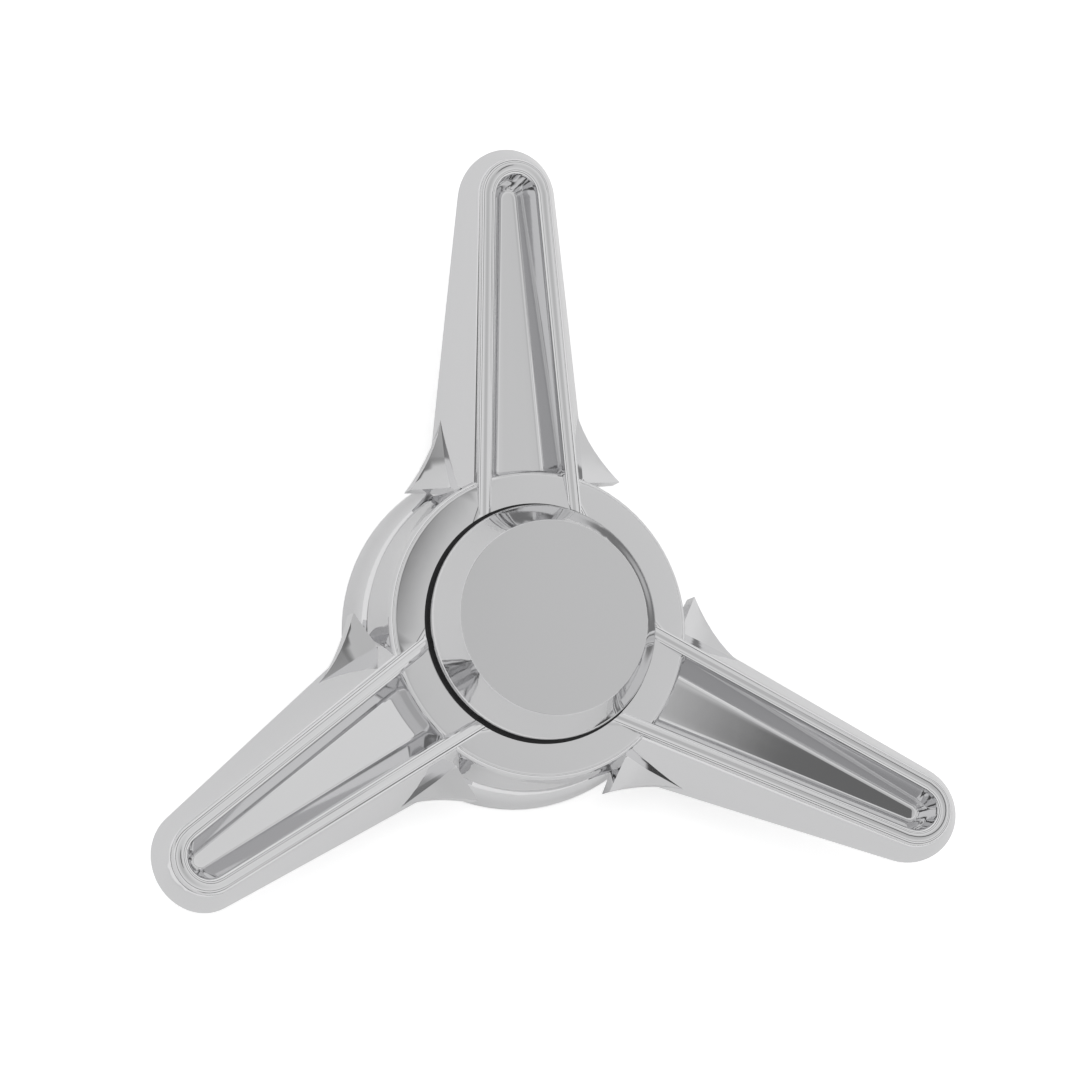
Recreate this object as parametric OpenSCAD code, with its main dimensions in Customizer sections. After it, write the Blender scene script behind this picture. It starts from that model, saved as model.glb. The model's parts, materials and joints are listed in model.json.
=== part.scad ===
// Three-bar wheel spinner cap: chromed casting, blank centre disc, spring clips behind.

/* [Hub] */
// Radius of the skirt at its foot
skirt_r = 39.5; // [37.5:0.5:42]
// Height of the flat deck above the skirt's foot
deck_z = 23; // [21:0.5:26]
// Outer radius of the flat deck
deck_r = 33.5; // [32.5:0.5:34.5]
// Thickness of the deck
deck_t = 3; // [2.5:0.25:3.5]
// Radius of the pilot bore inside the skirt's foot
pilot_r = 34.5; // [33.5:0.25:35]
// Length of the pilot bore
pilot_l = 5; // [4:0.5:6]

/* [Arms] */
// Number of arms
arm_n = 3; // [2:1:4]
// Direction of the first arm, in degrees
arm_a = 94; // [80:1:100]
// Radius from the axis to the outer edge of the rail at the tip
tip_r = 103.5; // [95:0.5:110]
// Half-width over the rails at the hub
rail_hub_w = 11.9; // [11:0.1:13]
// Half-width over the rails at the tip
rail_tip_w = 8.2; // [7.8:0.1:9]
// Width of the rail
rail_w = 3.4; // [3:0.1:3.8]
// Crown of the rail's rounded top
rail_crown = 1.1; // [0.7:0.1:1.4]
// Depth of the channel between the rails
channel_d = 6.2; // [5:0.1:6.6]
// How far the channel's floor lies inside the rails' inner edges
channel_slope = 2.8; // [2.4:0.1:3]
// Height of the rails above the deck at the hub
rail_rise_hub = 1.6; // [1.2:0.1:2.5]
// Height of the rails above the deck at the tip
rail_rise_tip = 10.5; // [8:0.25:12]
// Depth of the outer walls under the rails at the tip
wall_d_tip = 6; // [5:0.25:7]
// Depth of the outer walls under the rails at the hub
wall_d_hub = 14.5; // [13:0.25:16]
// Outward lean of the outer walls for each millimetre of depth
wall_lean = 0.44; // [0.38:0.02:0.5]
// Radius to which the concave root of an arm reaches
root_r = 52; // [46:1:58]
// How far the root spreads beside the arm at the hub
root_w = 8; // [6:0.5:9]
// Wall thickness of the cored arms
arm_wall = 2.2; // [1.8:0.1:2.4]

/* [Centre disc] */
// Radius of the disc's foot
disc_r = 26.4; // [25:0.1:26.6]
// Radius of the disc's flat top
disc_top_r = 21.7; // [20:0.1:22.5]
// Height of the disc above the deck
disc_h = 9.6; // [8:0.1:11]
// Height of the disc's upright side
disc_side_h = 3.2; // [2.5:0.1:4]
// Width of the seal that shows round the disc's foot
seal_w = 0.7; // [0.5:0.1:1]
// Thickness of the seal
seal_t = 1; // [0.8:0.1:1.5]
// Radius of a disc stud
stud_r = 2; // [1.6:0.1:2.4]
// Radius of the circle that the studs stand on
stud_circle_r = 15; // [13:0.5:17]

/* [Fasteners] */
// Radius of the circle of the clip screws
screw_circle_r = 25; // [24:0.5:26]
// Radius of a screw boss
boss_r = 4.2; // [3.8:0.1:4.6]
// Radius of a clip screw's shank
screw_r = 1.9; // [1.6:0.1:2]
// Length of a clip screw under its head
screw_l = 8; // [6:0.5:9]
// Thickness of a clip's spring steel
clip_t = 0.8; // [0.6:0.1:1]
// Width of a clip
clip_w = 9; // [8:0.5:10]
// Thickness of a washer
washer_t = 0.7; // [0.5:0.1:1]
// Radial width of the rim gasket
gasket_w = 2.2; // [1.8:0.1:2.6]
// Thickness of the rim gasket
gasket_t = 1.2; // [1:0.1:1.6]

/* [Hidden] */
$fn = 96;
gap = 0.05;
far = 200;
inner_z = deck_z - deck_t;
boss_l = 8;
boss_z = inner_z - boss_l;
clip_z = boss_z - clip_t;
washer_z = clip_z - washer_t;
tip_c = tip_r - rail_tip_w;
hub_start = 22;
floor_lap = 3.9;
wall_steps = 5;
taper = atan((rail_hub_w - rail_tip_w) / (tip_c - deck_r));
wall_full = wall_d_hub + 3;
wall_angle = atan((wall_d_hub - wall_d_tip) / (tip_r - deck_r));
rise_angle = atan((rail_rise_tip - rail_rise_hub) / (tip_c - deck_r));
gasket_r = (skirt_r + pilot_r) / 2;
bead_steps = 8;
fillet_steps = 4;
fastener_n = 3;

// One half of an arm's section about the tip's centre: over the rail, down the wall and back under
function half_section(inner) =
    let (
        wo = rail_tip_w,
        wi = wo - rail_w,
        wf = wi - channel_slope,
        lip = 0.45,
        zf = -channel_d,
        zb = -wall_full,
        wb = wo + lip + wall_lean * wall_full
    )
    concat(
        [[inner, zf]],
        [for (i = [0:fillet_steps]) let (a = 60 * i / fillet_steps)
            [wf - 0.9 + 1.3 * sin(a), zf + 1.3 * (1 - cos(a))]],
        [[wi - 0.2, -0.5]],
        [for (i = [0:bead_steps]) let (a = 180 - 180 * i / bead_steps)
            [wi + rail_w / 2 + rail_w / 2 * cos(a), rail_crown * sin(a)]],
        [[wo + 0.1, -0.9], [wo + lip, -1.25]],
        [for (i = [1:wall_steps]) let (u = i / wall_steps)
            [wo + lip + (wb - wo - lip) * u, -1.25 - (wall_full - 1.25) * (0.9 * u + 0.1 * u * u)]],
        [[wb - arm_wall, zb]],
        [[wf + 0.6, zf - arm_wall - 0.3], [wf - 0.6, zf - arm_wall], [inner, zf - arm_wall]]
    );

// One side of an arm, run from the tip's centre towards the hub
module arm_side() {
    rotate([0, 0, taper - 90])
        rotate([90, 0, 0])
            linear_extrude(tip_c - hub_start)
                polygon(half_section(-floor_lap));
}

module arm_tip() {
    rotate([0, 0, taper - 90])
        rotate_extrude(angle = 180 - 2 * taper)
            polygon(half_section(0));
}

module arm() {
    translate([tip_c, 0, deck_z + rail_rise_tip - rail_crown])
        rotate([0, -rise_angle, 0])
            difference() {
                union() {
                    arm_tip();
                    arm_side();
                    mirror([0, 1, 0])
                        arm_side();
                }
                translate([rail_tip_w, 0, -wall_d_tip])
                    rotate([0, -wall_angle, 0])
                        translate([-far, -far / 2, -far])
                            cube([2 * far, far, far]);
            }
}

// Concave web that runs an arm's outer walls into the hub
module arm_root() {
    start_r = deck_r - 1;
    arm_w = rail_tip_w + wall_lean * wall_d_hub * 0.8;
    steps = 8;
    edge = [for (i = [0:steps]) let (u = i / steps)
        [root_r - (root_r - start_r) * u,
         arm_w + (tip_c - root_r) * tan(taper) + root_w * u * u + (root_r - start_r) * u * tan(taper)]];
    intersection() {
        rotate_extrude()
            polygon([[start_r, pilot_l + 2], [start_r, deck_z - 6], [start_r + 4, deck_z - 7.6],
                     [start_r + 9, deck_z - 8.4], [root_r, deck_z - 8.6], [root_r, deck_z - 9.6]]);
        linear_extrude(deck_z)
            polygon(concat(edge, [for (i = [steps:-1:0]) [edge[i][0], -edge[i][1]]]));
    }
}

module hub_form() {
    shoulder = 2;
    rotate_extrude()
        polygon(concat(
            [[0, 0], [skirt_r, 0], [skirt_r, 1.5]],
            [for (i = [1:5]) let (a = i * 15) [skirt_r - 4 * (1 - cos(a)), 1.5 + 9 * sin(a)]],
            [for (i = [1:4]) let (u = i / 4)
                [skirt_r - 3 - (skirt_r - 3 - deck_r - shoulder * 0.75) * (1 - pow(1 - u, 2)),
                 10.2 + (deck_z - shoulder - 10.2) * u]],
            [for (i = [1:6]) let (a = 90 * i / 6)
                [deck_r + shoulder * 0.75 * (cos(a)), deck_z - shoulder + shoulder * sin(a)]],
            [[0, deck_z]]));
}

module hub_hollow() {
    rotate_extrude()
        polygon([[0, -1], [pilot_r, -1], [pilot_r, pilot_l], [pilot_r - 2.5, pilot_l + 6],
                 [deck_r - 3, inner_z - 3], [deck_r - 6, inner_z], [0, inner_z]]);
}

// Places children at each fastener, between the arms
module at_fastener(i, r) {
    rotate([0, 0, arm_a + 60 + 120 * (i - 1)])
        translate([r, 0, 0])
            children();
}

module spinner_body() {
    color("gainsboro")
    difference() {
        union() {
            difference() {
                union() {
                    hub_form();
                    for (i = [0:arm_n - 1])
                        rotate([0, 0, arm_a + 360 / arm_n * i]) {
                            arm();
                            arm_root();
                        }
                }
                hub_hollow();
            }
            for (i = [1:fastener_n])
                at_fastener(i, screw_circle_r)
                    translate([0, 0, boss_z])
                        cylinder(r = boss_r, h = boss_l + deck_t / 2);
        }
        translate([0, 0, deck_z])
            cylinder(r = disc_r + seal_w, h = far);
        translate([0, 0, deck_z - seal_t])
            cylinder(r = disc_r + seal_w, h = far);
        for (i = [1:fastener_n]) {
            at_fastener(i, screw_circle_r)
                translate([0, 0, boss_z - 1])
                    cylinder(r = screw_r + gap, h = screw_l - clip_t - washer_t + 1.5);
            at_fastener(i, stud_circle_r)
                cylinder(r = stud_r + gap, h = far);
        }
        translate([0, 0, -1])
            difference() {
                cylinder(r = gasket_r + gasket_w / 2, h = gasket_t + 1);
                cylinder(r = gasket_r - gasket_w / 2, h = gasket_t + 1);
            }
    }
}

module center_disc() {
    edge = 0.8;
    color("silver") {
        rotate_extrude()
            polygon(concat(
                [[0, deck_z], [disc_r, deck_z], [disc_r, deck_z + disc_side_h - edge]],
                [for (i = [1:4]) let (a = 60 * i / 4)
                    [disc_r - edge * (1 - cos(a)), deck_z + disc_side_h - edge + edge * sin(a)]],
                [[disc_top_r + 0.2, deck_z + disc_h - 0.15], [disc_top_r, deck_z + disc_h], [0, deck_z + disc_h]]));
        for (i = [1:fastener_n])
            at_fastener(i, stud_circle_r)
                translate([0, 0, inner_z - 3.5])
                    cylinder(r = stud_r, h = deck_t + 4);
    }
}

module disc_seal() {
    color("black")
    difference() {
        translate([0, 0, deck_z - seal_t])
            cylinder(r = disc_r + seal_w, h = seal_t);
        for (i = [1:fastener_n])
            at_fastener(i, stud_circle_r)
                cylinder(r = stud_r + gap, h = far);
    }
}

module rim_gasket() {
    color("black")
    difference() {
        cylinder(r = gasket_r + gasket_w / 2, h = gasket_t);
        translate([0, 0, -1])
            cylinder(r = gasket_r - gasket_w / 2, h = gasket_t + 2);
    }
}

module push_nut(i) {
    color("dimgray")
    at_fastener(i, stud_circle_r)
        translate([0, 0, inner_z - 1.6])
            rotate_extrude()
                polygon([[stud_r, 0], [stud_r + 0.8, 0], [stud_r + 1.6, 0.8], [stud_r + 3, 0.8],
                         [stud_r + 3, 1.6], [stud_r + 1.2, 1.6], [stud_r, 0.8]]);
}

module spring_clip(i) {
    color("slategray")
    at_fastener(i, screw_circle_r)
        difference() {
            rotate([90, 0, 0])
                translate([0, 0, -clip_w / 2])
                    linear_extrude(clip_w)
                        polygon([[4.6, boss_z], [4.6, clip_z], [-4.6, clip_z], [-6.2, clip_z - 2.5],
                                 [-4.6, clip_z - 4.6], [-5.2, clip_z - 5], [-7.1, clip_z - 2.5],
                                 [-5.1, boss_z]]);
            translate([0, 0, clip_z - 1])
                cylinder(r = screw_r + 0.1, h = clip_t + 2);
        }
}

module lock_washer(i) {
    color("gray")
    at_fastener(i, screw_circle_r)
        translate([0, 0, washer_z])
            difference() {
                cylinder(r = screw_r + 1.8, h = washer_t);
                translate([0, 0, -1])
                    cylinder(r = screw_r + 0.1, h = washer_t + 2);
            }
}

module clip_screw(i) {
    head_h = 2;
    head_r = 3.4;
    color("gray")
    at_fastener(i, screw_circle_r)
        difference() {
            union() {
                translate([0, 0, washer_z])
                    cylinder(r = screw_r, h = screw_l);
                translate([0, 0, washer_z - head_h])
                    cylinder(r1 = head_r - 0.6, r2 = head_r, h = head_h);
            }
            for (a = [0, 90])
                rotate([0, 0, a])
                    translate([-2, -0.35, washer_z - head_h - 1])
                        cube([4, 0.7, 2]);
        }
}

spinner_body();
center_disc();
disc_seal();
rim_gasket();
for (i = [1:fastener_n]) {
    push_nut(i);
    spring_clip(i);
    lock_washer(i);
    clip_screw(i);
}
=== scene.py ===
import json
import math
import bpy
from mathutils import Matrix, Vector


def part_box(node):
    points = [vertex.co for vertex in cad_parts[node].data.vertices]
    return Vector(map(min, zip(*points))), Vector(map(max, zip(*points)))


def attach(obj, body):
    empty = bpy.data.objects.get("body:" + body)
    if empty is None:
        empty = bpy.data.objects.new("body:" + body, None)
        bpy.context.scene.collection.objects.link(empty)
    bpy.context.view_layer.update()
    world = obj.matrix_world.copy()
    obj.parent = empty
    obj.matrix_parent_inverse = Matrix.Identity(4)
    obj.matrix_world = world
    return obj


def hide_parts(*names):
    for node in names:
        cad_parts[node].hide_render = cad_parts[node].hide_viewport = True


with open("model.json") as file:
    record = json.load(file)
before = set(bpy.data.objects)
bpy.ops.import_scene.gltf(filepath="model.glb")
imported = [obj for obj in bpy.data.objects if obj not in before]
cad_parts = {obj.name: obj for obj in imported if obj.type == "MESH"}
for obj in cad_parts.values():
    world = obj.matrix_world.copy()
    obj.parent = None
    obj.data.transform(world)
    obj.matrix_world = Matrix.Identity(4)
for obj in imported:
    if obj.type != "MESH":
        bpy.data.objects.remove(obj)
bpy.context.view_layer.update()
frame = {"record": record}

# Camera, worked out from the hub's circles and the arms' edges in the photograph
IMAGE_PX = 1080
DISC_HEIGHT = 0.0096
DECK_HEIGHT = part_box("center_disc")[1][2] - DISC_HEIGHT
TILT = math.radians(20.7)
TURN = math.radians(23.5)
DISTANCE = 0.886
PX_PER_METRE = 4487
HUB_PX = (540.8, 623.2)
SENSOR = 36

# Smoothing angle under which two faces of a casting read as one surface
SMOOTH_ANGLE = math.radians(28)
MERGE_DISTANCE = 0.00001

# Colour sockets of a Mix node set to RGBA
MIX_A = 6
MIX_B = 7
MIX_RESULT = 2

# Depth of the finest relief in a surface: polishing waves, rolled grain, mould grit
RELIEF_DEPTH = 0.0001

# Paper floor: its size, how far it lies below the cap's foot, and how bright its own white is
FLOOR_SIZE = 6
FLOOR_DROP = 0.0002
FLOOR_WHITE = 0.5
# Share of that white which the chrome sees, so that the outer walls stay grey against it
FLOOR_IN_CHROME = 0.22

# Brightness of the tent by the height of the direction looked in, from straight down to straight up
TENT_BANDS = (
    (0.0, 1.0), (0.3, 1.0), (0.33, 0.1), (0.4, 0.1), (0.43, 1.0), (0.62, 0.95),
    (0.65, 0.3), (0.7, 0.3), (0.73, 0.95), (0.86, 0.85), (0.93, 0.76), (1.0, 0.62),
)
# Dark card overhead that greys the right arm's channel: its direction, soft edge and brightness
CARD_TOWARDS = (0.2, 0.2, 0.96)
CARD_INNER = 0.07
CARD_OUTER = 0.11
CARD_BRIGHTNESS = 0.25

# Softbox over the bench, in watts and metres
SOFTBOX_POWER = 6
SOFTBOX_SIZE = 1.2
SOFTBOX_PLACE = (-0.5, 0.6, 1.6)


def linear(hex_colour):
    """Turns an sRGB hex colour into the linear values that shaders use."""
    values = [int(hex_colour[i:i + 2], 16) / 255 for i in (1, 3, 5)]
    return [v / 12.92 if v <= 0.04045 else ((v + 0.055) / 1.055) ** 2.4 for v in values] + [1]


def grey(value):
    """A linear grey of the given brightness."""
    return (value, value, value, 1)


def node(tree, kind, links=None, **settings):
    """Adds a node with its settings; links gives each input a value or another node's output."""
    made = tree.nodes.new(kind)
    for name, value in settings.items():
        setattr(made, name, value)
    for name, value in (links or {}).items():
        if isinstance(value, bpy.types.NodeSocket):
            tree.links.new(value, made.inputs[name])
        else:
            made.inputs[name].default_value = value
    return made


def new_material(name):
    """Adds an empty material; gives it with its node tree."""
    material = bpy.data.materials.new(name)
    material.use_nodes = True
    material.node_tree.nodes.clear()
    return material, material.node_tree


def plated(name, colour, roughness, wave_mm, bump):
    """Bright plating over a polished base: near-mirror, with a faint polishing unevenness."""
    material, tree = new_material(name)
    place = node(tree, "ShaderNodeTexCoord").outputs["Object"]
    waves = node(tree, "ShaderNodeTexNoise", {
        "Vector": place, "Scale": 1000 / wave_mm, "Detail": 3.0})
    haze = node(tree, "ShaderNodeMapRange", {
        "Value": waves.outputs["Fac"], "To Min": roughness * 0.7, "To Max": roughness * 1.3})
    relief = node(tree, "ShaderNodeBump", {
        "Height": waves.outputs["Fac"], "Strength": bump, "Distance": RELIEF_DEPTH})
    shader = node(tree, "ShaderNodeBsdfPrincipled", {
        "Base Color": linear(colour), "Metallic": 1.0, "Roughness": haze.outputs["Result"],
        "Normal": relief.outputs["Normal"]})
    node(tree, "ShaderNodeOutputMaterial", {"Surface": shader.outputs["BSDF"]})
    return material


def rolled_steel(name, light, dark, roughness):
    """Strip or wire steel: fine grain along the roll."""
    material, tree = new_material(name)
    place = node(tree, "ShaderNodeTexCoord").outputs["Object"]
    stretch = node(tree, "ShaderNodeMapping", {"Vector": place, "Scale": (1.0, 9.0, 1.0)})
    grain = node(tree, "ShaderNodeTexNoise", {
        "Vector": stretch.outputs["Vector"], "Scale": 700.0, "Detail": 4.0})
    tint = node(tree, "ShaderNodeMix", {
        "Factor": grain.outputs["Fac"], MIX_A: linear(light), MIX_B: linear(dark)}, data_type="RGBA")
    relief = node(tree, "ShaderNodeBump", {
        "Height": grain.outputs["Fac"], "Strength": 0.25, "Distance": RELIEF_DEPTH})
    shader = node(tree, "ShaderNodeBsdfPrincipled", {
        "Base Color": tint.outputs[MIX_RESULT], "Metallic": 1.0, "Roughness": roughness,
        "Normal": relief.outputs["Normal"]})
    node(tree, "ShaderNodeOutputMaterial", {"Surface": shader.outputs["BSDF"]})
    return material


def moulded_rubber(name, dark, light):
    """Black nitrile rubber: matte, with the fine grit of its mould."""
    material, tree = new_material(name)
    place = node(tree, "ShaderNodeTexCoord").outputs["Object"]
    grit = node(tree, "ShaderNodeTexNoise", {"Vector": place, "Scale": 2500.0, "Detail": 3.0})
    tint = node(tree, "ShaderNodeMix", {
        "Factor": grit.outputs["Fac"], MIX_A: linear(dark), MIX_B: linear(light)}, data_type="RGBA")
    relief = node(tree, "ShaderNodeBump", {
        "Height": grit.outputs["Fac"], "Strength": 0.3, "Distance": RELIEF_DEPTH})
    shader = node(tree, "ShaderNodeBsdfPrincipled", {
        "Base Color": tint.outputs[MIX_RESULT], "Roughness": 0.7,
        "Normal": relief.outputs["Normal"]})
    node(tree, "ShaderNodeOutputMaterial", {"Surface": shader.outputs["BSDF"]})
    return material


def dressed(node_name, piece_name, material):
    """Copies a CAD node, merges its loose triangles and smooths its curved faces."""
    source = bpy.data.objects[node_name]
    piece = bpy.data.objects.new(piece_name, source.data.copy())
    bpy.context.scene.collection.objects.link(piece)
    bpy.ops.object.select_all(action="DESELECT")
    piece.select_set(True)
    bpy.context.view_layer.objects.active = piece
    bpy.ops.object.mode_set(mode="EDIT")
    bpy.ops.mesh.select_all(action="SELECT")
    bpy.ops.mesh.remove_doubles(threshold=MERGE_DISTANCE)
    bpy.ops.object.mode_set(mode="OBJECT")
    bpy.ops.mesh.customdata_custom_splitnormals_clear()
    bpy.ops.object.shade_smooth_by_angle(angle=SMOOTH_ANGLE)
    weighted = piece.modifiers.new("weighted normals", "WEIGHTED_NORMAL")
    weighted.keep_sharp = True
    bpy.ops.object.modifier_apply(modifier=weighted.name)
    piece.data.materials.clear()
    piece.data.materials.append(material)
    piece.select_set(False)
    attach(piece, "root")
    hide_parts(node_name)


def make_camera():
    """Looks at the deck's centre from the photograph's side, with the hub at its pixel."""
    towards = Vector((
        -math.sin(TILT) * math.cos(TURN), -math.sin(TILT) * math.sin(TURN), math.cos(TILT)))
    # Across the view and up it, before the camera's roll is turned back
    along = Vector((
        math.cos(TILT) * math.cos(TURN), math.cos(TILT) * math.sin(TURN), math.sin(TILT)))
    across = Vector((-math.sin(TURN), math.cos(TURN), 0))
    right = along * math.cos(TURN) - across * math.sin(TURN)
    up = along * math.sin(TURN) + across * math.cos(TURN)
    data = bpy.data.cameras.new("camera")
    camera = bpy.data.objects.new("camera", data)
    bpy.context.scene.collection.objects.link(camera)
    place = Matrix((right, up, towards)).transposed().to_4x4()
    place.translation = Vector((0, 0, DECK_HEIGHT)) + towards * DISTANCE
    camera.matrix_world = place
    data.sensor_width = SENSOR
    data.lens = PX_PER_METRE * DISTANCE / IMAGE_PX * SENSOR
    data.shift_x = (IMAGE_PX / 2 - HUB_PX[0]) / IMAGE_PX
    data.shift_y = (HUB_PX[1] - IMAGE_PX / 2) / IMAGE_PX
    data.clip_end = 50
    bpy.context.scene.camera = camera


def make_floor():
    """White paper: full white to the camera, dimmer in the chrome, plain paper for the light."""
    bpy.ops.object.select_all(action="DESELECT")
    bpy.ops.mesh.primitive_plane_add(size=FLOOR_SIZE, location=(0, 0, -FLOOR_DROP))
    floor = bpy.context.object
    floor.name = "floor"
    bpy.ops.object.transform_apply(location=True)
    material, tree = new_material("white seamless paper")
    path = node(tree, "ShaderNodeLightPath").outputs
    soft = node(tree, "ShaderNodeMath", {
        0: path["Is Glossy Ray"], 1: FLOOR_IN_CHROME}, operation="MULTIPLY")
    rays = node(tree, "ShaderNodeMath", {
        0: path["Is Camera Ray"], 1: soft.outputs["Value"]}, operation="ADD", use_clamp=True)
    paper = node(tree, "ShaderNodeBsdfDiffuse", {"Color": linear("#E6E6E6")})
    white = node(tree, "ShaderNodeEmission", {"Color": grey(1), "Strength": FLOOR_WHITE})
    lifted = node(tree, "ShaderNodeAddShader", {
        0: paper.outputs["BSDF"], 1: white.outputs["Emission"]})
    either = node(tree, "ShaderNodeMixShader", {
        "Fac": rays.outputs["Value"], 1: paper.outputs["BSDF"], 2: lifted.outputs["Shader"]})
    node(tree, "ShaderNodeOutputMaterial", {"Surface": either.outputs["Shader"]})
    floor.data.materials.append(material)


def make_studio():
    """A white tent with a greyer top, two dark bands that draw the chrome's edges, and a softbox."""
    world = bpy.data.worlds.new("white tent")
    bpy.context.scene.world = world
    world.use_nodes = True
    tree = world.node_tree
    tree.nodes.clear()
    look = node(tree, "ShaderNodeTexCoord").outputs["Generated"]
    height = node(tree, "ShaderNodeSeparateXYZ", {"Vector": look}).outputs["Z"]
    bands = node(tree, "ShaderNodeValToRGB", {"Fac": height})
    stops = bands.color_ramp.elements
    # The ramp comes with a stop at each end
    for stop, (position, value) in zip((stops[0], stops[1]), (TENT_BANDS[0], TENT_BANDS[-1])):
        stop.position = position
        stop.color = grey(value)
    for position, value in TENT_BANDS[1:-1]:
        stops.new(position).color = grey(value)
    away = node(tree, "ShaderNodeVectorMath", {0: look, 1: CARD_TOWARDS}, operation="DISTANCE")
    card = node(tree, "ShaderNodeMapRange", {
        "Value": away.outputs["Value"], "From Min": CARD_INNER, "From Max": CARD_OUTER,
        "To Min": CARD_BRIGHTNESS, "To Max": 1.0})
    dimmed = node(tree, "ShaderNodeVectorMath", {
        0: bands.outputs["Color"], "Scale": card.outputs["Result"]}, operation="SCALE")
    tent = node(tree, "ShaderNodeBackground", {"Color": dimmed.outputs["Vector"], "Strength": 1.0})
    node(tree, "ShaderNodeOutputWorld", {"Surface": tent.outputs["Background"]})
    lamp = bpy.data.lights.new("top softbox", "AREA")
    lamp.energy = SOFTBOX_POWER
    lamp.size = SOFTBOX_SIZE
    box = bpy.data.objects.new("top softbox", lamp)
    bpy.context.scene.collection.objects.link(box)
    box.location = SOFTBOX_PLACE
    box.rotation_euler = Vector(SOFTBOX_PLACE).to_track_quat("Z", "Y").to_euler()
    box.visible_glossy = False


make_camera()
make_floor()
make_studio()
bpy.context.scene.view_settings.view_transform = "Standard"

finishes = {
    "chrome_casting": plated("bright chrome plate on zinc casting", "#DADADB", 0.05, 14, 0.06),
    "chrome_disc": plated("bright chrome plate on turned disc", "#D2D2D3", 0.07, 18, 0.03),
    "black_rubber": moulded_rubber("moulded nitrile rubber", "#0E0E0F", "#1E1E20"),
    "spring_steel": rolled_steel("tempered spring steel", "#77797D", "#5C5E62", 0.35),
    "zinc_steel": rolled_steel("zinc plated steel", "#B4B6B8", "#96989A", 0.3),
}
for subpart in frame["record"]["subparts"]:
    name = subpart["node"]
    slot = subpart["material_slot"]
    dressed(name, name + "_finished", finishes[slot])
